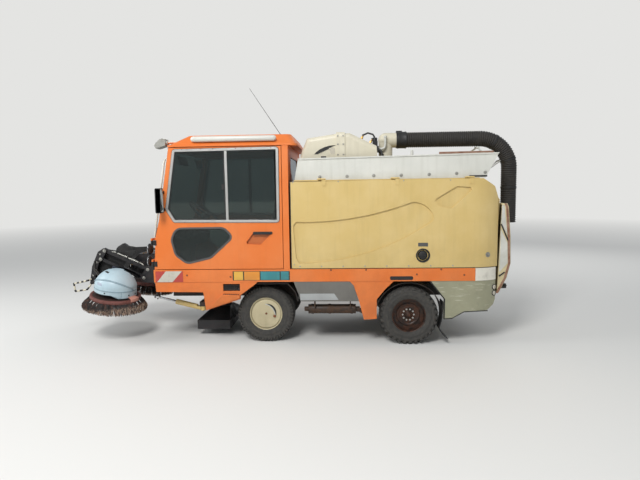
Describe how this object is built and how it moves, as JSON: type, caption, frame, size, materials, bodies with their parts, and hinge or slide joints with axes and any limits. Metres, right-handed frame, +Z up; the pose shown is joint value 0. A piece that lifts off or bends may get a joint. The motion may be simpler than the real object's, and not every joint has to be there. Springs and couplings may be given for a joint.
{
  "type": "compact road sweeper",
  "caption": "Compact road sweeper with a glazed cab, front side brushes on parallel links, a suction mouth and a tipping hopper with a roof hose",
  "frame": {"origin": "on the ground under the middle of the machine's box", "axes": "+X to the tailgate, +Y to the machine's right side, +Z up"},
  "size_m": [4.656, 1.56, 2.6128],
  "materials": {
    "orange_paint": "gloss",
    "cream_panel": "satin",
    "white_panel": "satin",
    "frame_black": "satin",
    "grey_panel": "matt",
    "dark_cover": "matt",
    "hood_plastic": "satin",
    "interior_black": "matt",
    "seat_cloth": "woven",
    "window_glass": "clear",
    "tyre_rubber": "matt",
    "rim_paint": "satin",
    "rust_steel": "rough",
    "engine_iron": "rough",
    "cylinder_steel": "polished",
    "hose_rubber": "matt",
    "brush_wire": "matt",
    "galvanised": "brushed"
  },
  "bodies": {
    "root": {"axles": "frame_black", "cab_fittings": "frame_black", "cab_floor": "interior_black", "cab_frame": "frame_black", "cab_glass": "window_glass", "cab_nose": "orange_paint", "cab_rear_wall": "interior_black", "cab_roof": "orange_paint", "chassis_frame": "frame_black", "dashboard": "interior_black", "engine_block": "engine_iron", "front_carrier": "frame_black", "muffler": "rust_steel", "rear_bumper": "grey_panel", "seat_cushions": "seat_cloth", "side_covers": "dark_cover", "side_panels": "orange_paint", "suction_duct": "galvanised"},
    "door_left": {"door_left": "orange_paint", "door_glass_left": "window_glass"},
    "knuckle_left": {"knuckle_left": "frame_black"},
    "wheel_front_left": {"tyre_front_left": "tyre_rubber", "rim_front_left": "rim_paint"},
    "wheel_rear_left": {"tyre_rear_left": "tyre_rubber", "rim_rear_left": "rust_steel"},
    "swing_bracket_left": {"swing_bracket_left": "frame_black"},
    "lift_arm_upper_left": {"lift_arm_upper_left": "frame_black"},
    "lift_arm_lower_left": {"lift_arm_lower_left": "frame_black"},
    "brush_head_left": {"brush_head_left": "frame_black", "brush_hood_left": "hood_plastic"},
    "brush_left": {"brush_left": "brush_wire"},
    "swing_barrel_left": {"swing_barrel_left": "cream_panel"},
    "swing_ram_left": {"swing_ram_left": "cylinder_steel"},
    "cladding_left": {"cladding_left": "cream_panel"},
    "door_right": {"door_right": "orange_paint", "door_glass_right": "window_glass"},
    "knuckle_right": {"knuckle_right": "frame_black"},
    "wheel_front_right": {"tyre_front_right": "tyre_rubber", "rim_front_right": "rim_paint"},
    "wheel_rear_right": {"tyre_rear_right": "tyre_rubber", "rim_rear_right": "rust_steel"},
    "swing_bracket_right": {"swing_bracket_right": "frame_black"},
    "lift_arm_upper_right": {"lift_arm_upper_right": "frame_black"},
    "lift_arm_lower_right": {"lift_arm_lower_right": "frame_black"},
    "brush_head_right": {"brush_head_right": "frame_black", "brush_hood_right": "hood_plastic"},
    "brush_right": {"brush_right": "brush_wire"},
    "swing_barrel_right": {"swing_barrel_right": "cream_panel"},
    "swing_ram_right": {"swing_ram_right": "cylinder_steel"},
    "cladding_right": {"cladding_right": "cream_panel"},
    "tie_rod": {"tie_rod": "frame_black"},
    "nozzle": {"nozzle": "frame_black"},
    "hopper": {"hopper_body": "cream_panel", "roof_fairing": "white_panel", "fan_housing": "white_panel", "suction_hose": "hose_rubber", "hose_tail": "hose_rubber"},
    "tailgate": {"tailgate": "cream_panel"},
    "tip_barrel": {"tip_barrel": "frame_black"},
    "tip_rod": {"tip_rod": "cylinder_steel"}
  },
  "joints": [
    {"name": "door_left_open", "type": "hinge", "parent": "root", "child": "door_left", "pos_m": [-1.336, -0.657, 1], "axis": [0, 0, -1], "range_deg": [0, 75]},
    {"name": "wheel_rear_left_spin", "type": "hinge", "parent": "root", "child": "wheel_rear_left", "pos_m": [1.176, -0.5575, 0.285], "axis": [0, 1, 0], "continuous": true},
    {"name": "wheel_front_left_spin", "type": "hinge", "parent": "knuckle_left", "child": "wheel_front_left", "pos_m": [-0.242, -0.4675, 0.285], "axis": [0, 1, 0], "continuous": true},
    {"name": "brush_swing_left", "type": "hinge", "parent": "root", "child": "swing_bracket_left", "pos_m": [-1.48, -0.24, 0.65], "axis": [0, 0, 1], "range_deg": [0, 25]},
    {"name": "brush_lower_left", "type": "hinge", "parent": "swing_bracket_left", "child": "lift_arm_upper_left", "pos_m": [-1.545, -0.24, 0.7], "axis": [0, -1, 0], "range_deg": [0, 31]},
    {"name": "lift_follow_left", "type": "hinge", "parent": "swing_bracket_left", "child": "lift_arm_lower_left", "pos_m": [-1.591, -0.24, 0.611], "axis": [0, -1, 0], "range_deg": [0, 31]},
    {"name": "head_level_left", "type": "hinge", "parent": "lift_arm_upper_left", "child": "brush_head_left", "pos_m": [-2.005, -0.24, 0.905], "axis": [0, -1, 0], "range_deg": [-31, 0]},
    {"name": "brush_spin_left", "type": "hinge", "parent": "brush_head_left", "child": "brush_left", "pos_m": [-1.842, -0.41, 0.45], "axis": [0.1382, -0.079, 0.9872], "continuous": true},
    {"name": "swing_barrel_turn_left", "type": "hinge", "parent": "root", "child": "swing_barrel_left", "pos_m": [-0.9, -0.47, 0.33], "axis": [0, 0, 1], "range_deg": [-6.92, 0]},
    {"name": "swing_ram_slide_left", "type": "slide", "parent": "swing_barrel_left", "child": "swing_ram_left", "axis": [-0.9696, 0.1357, 0.2036], "range_m": [-0.0525, 0]},
    {"name": "cladding_left_lift", "type": "hinge", "parent": "hopper", "child": "cladding_left", "pos_m": [1, -0.657, 1.624], "axis": [-1, 0, 0], "range_deg": [0, 75]},
    {"name": "door_right_open", "type": "hinge", "parent": "root", "child": "door_right", "pos_m": [-1.336, 0.657, 1], "axis": [0, 0, 1], "range_deg": [0, 75]},
    {"name": "wheel_rear_right_spin", "type": "hinge", "parent": "root", "child": "wheel_rear_right", "pos_m": [1.176, 0.5575, 0.285], "axis": [0, 1, 0], "continuous": true},
    {"name": "wheel_front_right_spin", "type": "hinge", "parent": "knuckle_right", "child": "wheel_front_right", "pos_m": [-0.242, 0.4675, 0.285], "axis": [0, 1, 0], "continuous": true},
    {"name": "brush_swing_right", "type": "hinge", "parent": "root", "child": "swing_bracket_right", "pos_m": [-1.48, 0.24, 0.65], "axis": [0, 0, -1], "range_deg": [0, 25]},
    {"name": "brush_lower_right", "type": "hinge", "parent": "swing_bracket_right", "child": "lift_arm_upper_right", "pos_m": [-1.545, 0.24, 0.7], "axis": [0, -1, 0], "range_deg": [0, 31]},
    {"name": "lift_follow_right", "type": "hinge", "parent": "swing_bracket_right", "child": "lift_arm_lower_right", "pos_m": [-1.591, 0.24, 0.611], "axis": [0, -1, 0], "range_deg": [0, 31]},
    {"name": "head_level_right", "type": "hinge", "parent": "lift_arm_upper_right", "child": "brush_head_right", "pos_m": [-2.005, 0.24, 0.905], "axis": [0, -1, 0], "range_deg": [-31, 0]},
    {"name": "brush_spin_right", "type": "hinge", "parent": "brush_head_right", "child": "brush_right", "pos_m": [-1.842, 0.41, 0.45], "axis": [0.1382, 0.079, 0.9872], "continuous": true},
    {"name": "swing_barrel_turn_right", "type": "hinge", "parent": "root", "child": "swing_barrel_right", "pos_m": [-0.9, 0.47, 0.33], "axis": [0, 0, -1], "range_deg": [-6.92, 0]},
    {"name": "swing_ram_slide_right", "type": "slide", "parent": "swing_barrel_right", "child": "swing_ram_right", "axis": [-0.9696, -0.1357, 0.2036], "range_m": [-0.0525, 0]},
    {"name": "cladding_right_lift", "type": "hinge", "parent": "hopper", "child": "cladding_right", "pos_m": [1, 0.657, 1.624], "axis": [1, 0, 0], "range_deg": [0, 75]},
    {"name": "steer_left", "type": "hinge", "parent": "root", "child": "knuckle_left", "pos_m": [-0.242, -0.36, 0.285], "axis": [0, 0, 1], "range_deg": [-28, 28]},
    {"name": "steer_right", "type": "hinge", "parent": "root", "child": "knuckle_right", "pos_m": [-0.242, 0.36, 0.285], "axis": [0, 0, 1], "range_deg": [-28, 28]},
    {"name": "tie_rod_turn", "type": "hinge", "parent": "knuckle_left", "child": "tie_rod", "pos_m": [-0.092, -0.36, 0.24], "axis": [0, 0, 1], "range_deg": [-28, 28]},
    {"name": "nozzle_lift", "type": "hinge", "parent": "root", "child": "nozzle", "pos_m": [-0.5, 0, 0.37], "axis": [0, -1, 0], "range_deg": [0, 6]},
    {"name": "hopper_tip", "type": "hinge", "parent": "root", "child": "hopper", "pos_m": [2, 0, 0.48], "axis": [0, 1, 0], "range_deg": [0, 50]},
    {"name": "tailgate_open", "type": "hinge", "parent": "hopper", "child": "tailgate", "pos_m": [2.092, 0, 1.402], "axis": [0, -1, 0], "range_deg": [0, 60], "deforming": ["hose_tail"]},
    {"name": "tip_barrel_turn", "type": "hinge", "parent": "root", "child": "tip_barrel", "pos_m": [1.55, 0, 0.41], "axis": [0, 1, 0], "range_deg": [0, 12.04]},
    {"name": "tip_rod_slide", "type": "slide", "parent": "tip_barrel", "child": "tip_rod", "axis": [0.7118, 0, 0.7023], "range_m": [0, 0.2092]}
  ],
  "couplings": [
    {"joint": "lift_follow_left", "follows": "brush_lower_left", "ratio": 1},
    {"joint": "head_level_left", "follows": "brush_lower_left", "ratio": -1},
    {"joint": "swing_barrel_turn_left", "follows": "brush_swing_left", "ratio": -0.2686},
    {"joint": "swing_ram_slide_left", "follows": "brush_swing_left", "m_per_rad": -0.11793},
    {"joint": "lift_follow_right", "follows": "brush_lower_right", "ratio": 1},
    {"joint": "head_level_right", "follows": "brush_lower_right", "ratio": -1},
    {"joint": "swing_barrel_turn_right", "follows": "brush_swing_right", "ratio": -0.2686},
    {"joint": "swing_ram_slide_right", "follows": "brush_swing_right", "m_per_rad": -0.11793},
    {"joint": "steer_right", "follows": "steer_left", "ratio": 1},
    {"joint": "tie_rod_turn", "follows": "steer_left", "ratio": -1},
    {"joint": "tip_barrel_turn", "follows": "hopper_tip", "ratio": 0.2369},
    {"joint": "tip_rod_slide", "follows": "hopper_tip", "m_per_rad": 0.23744}
  ]
}
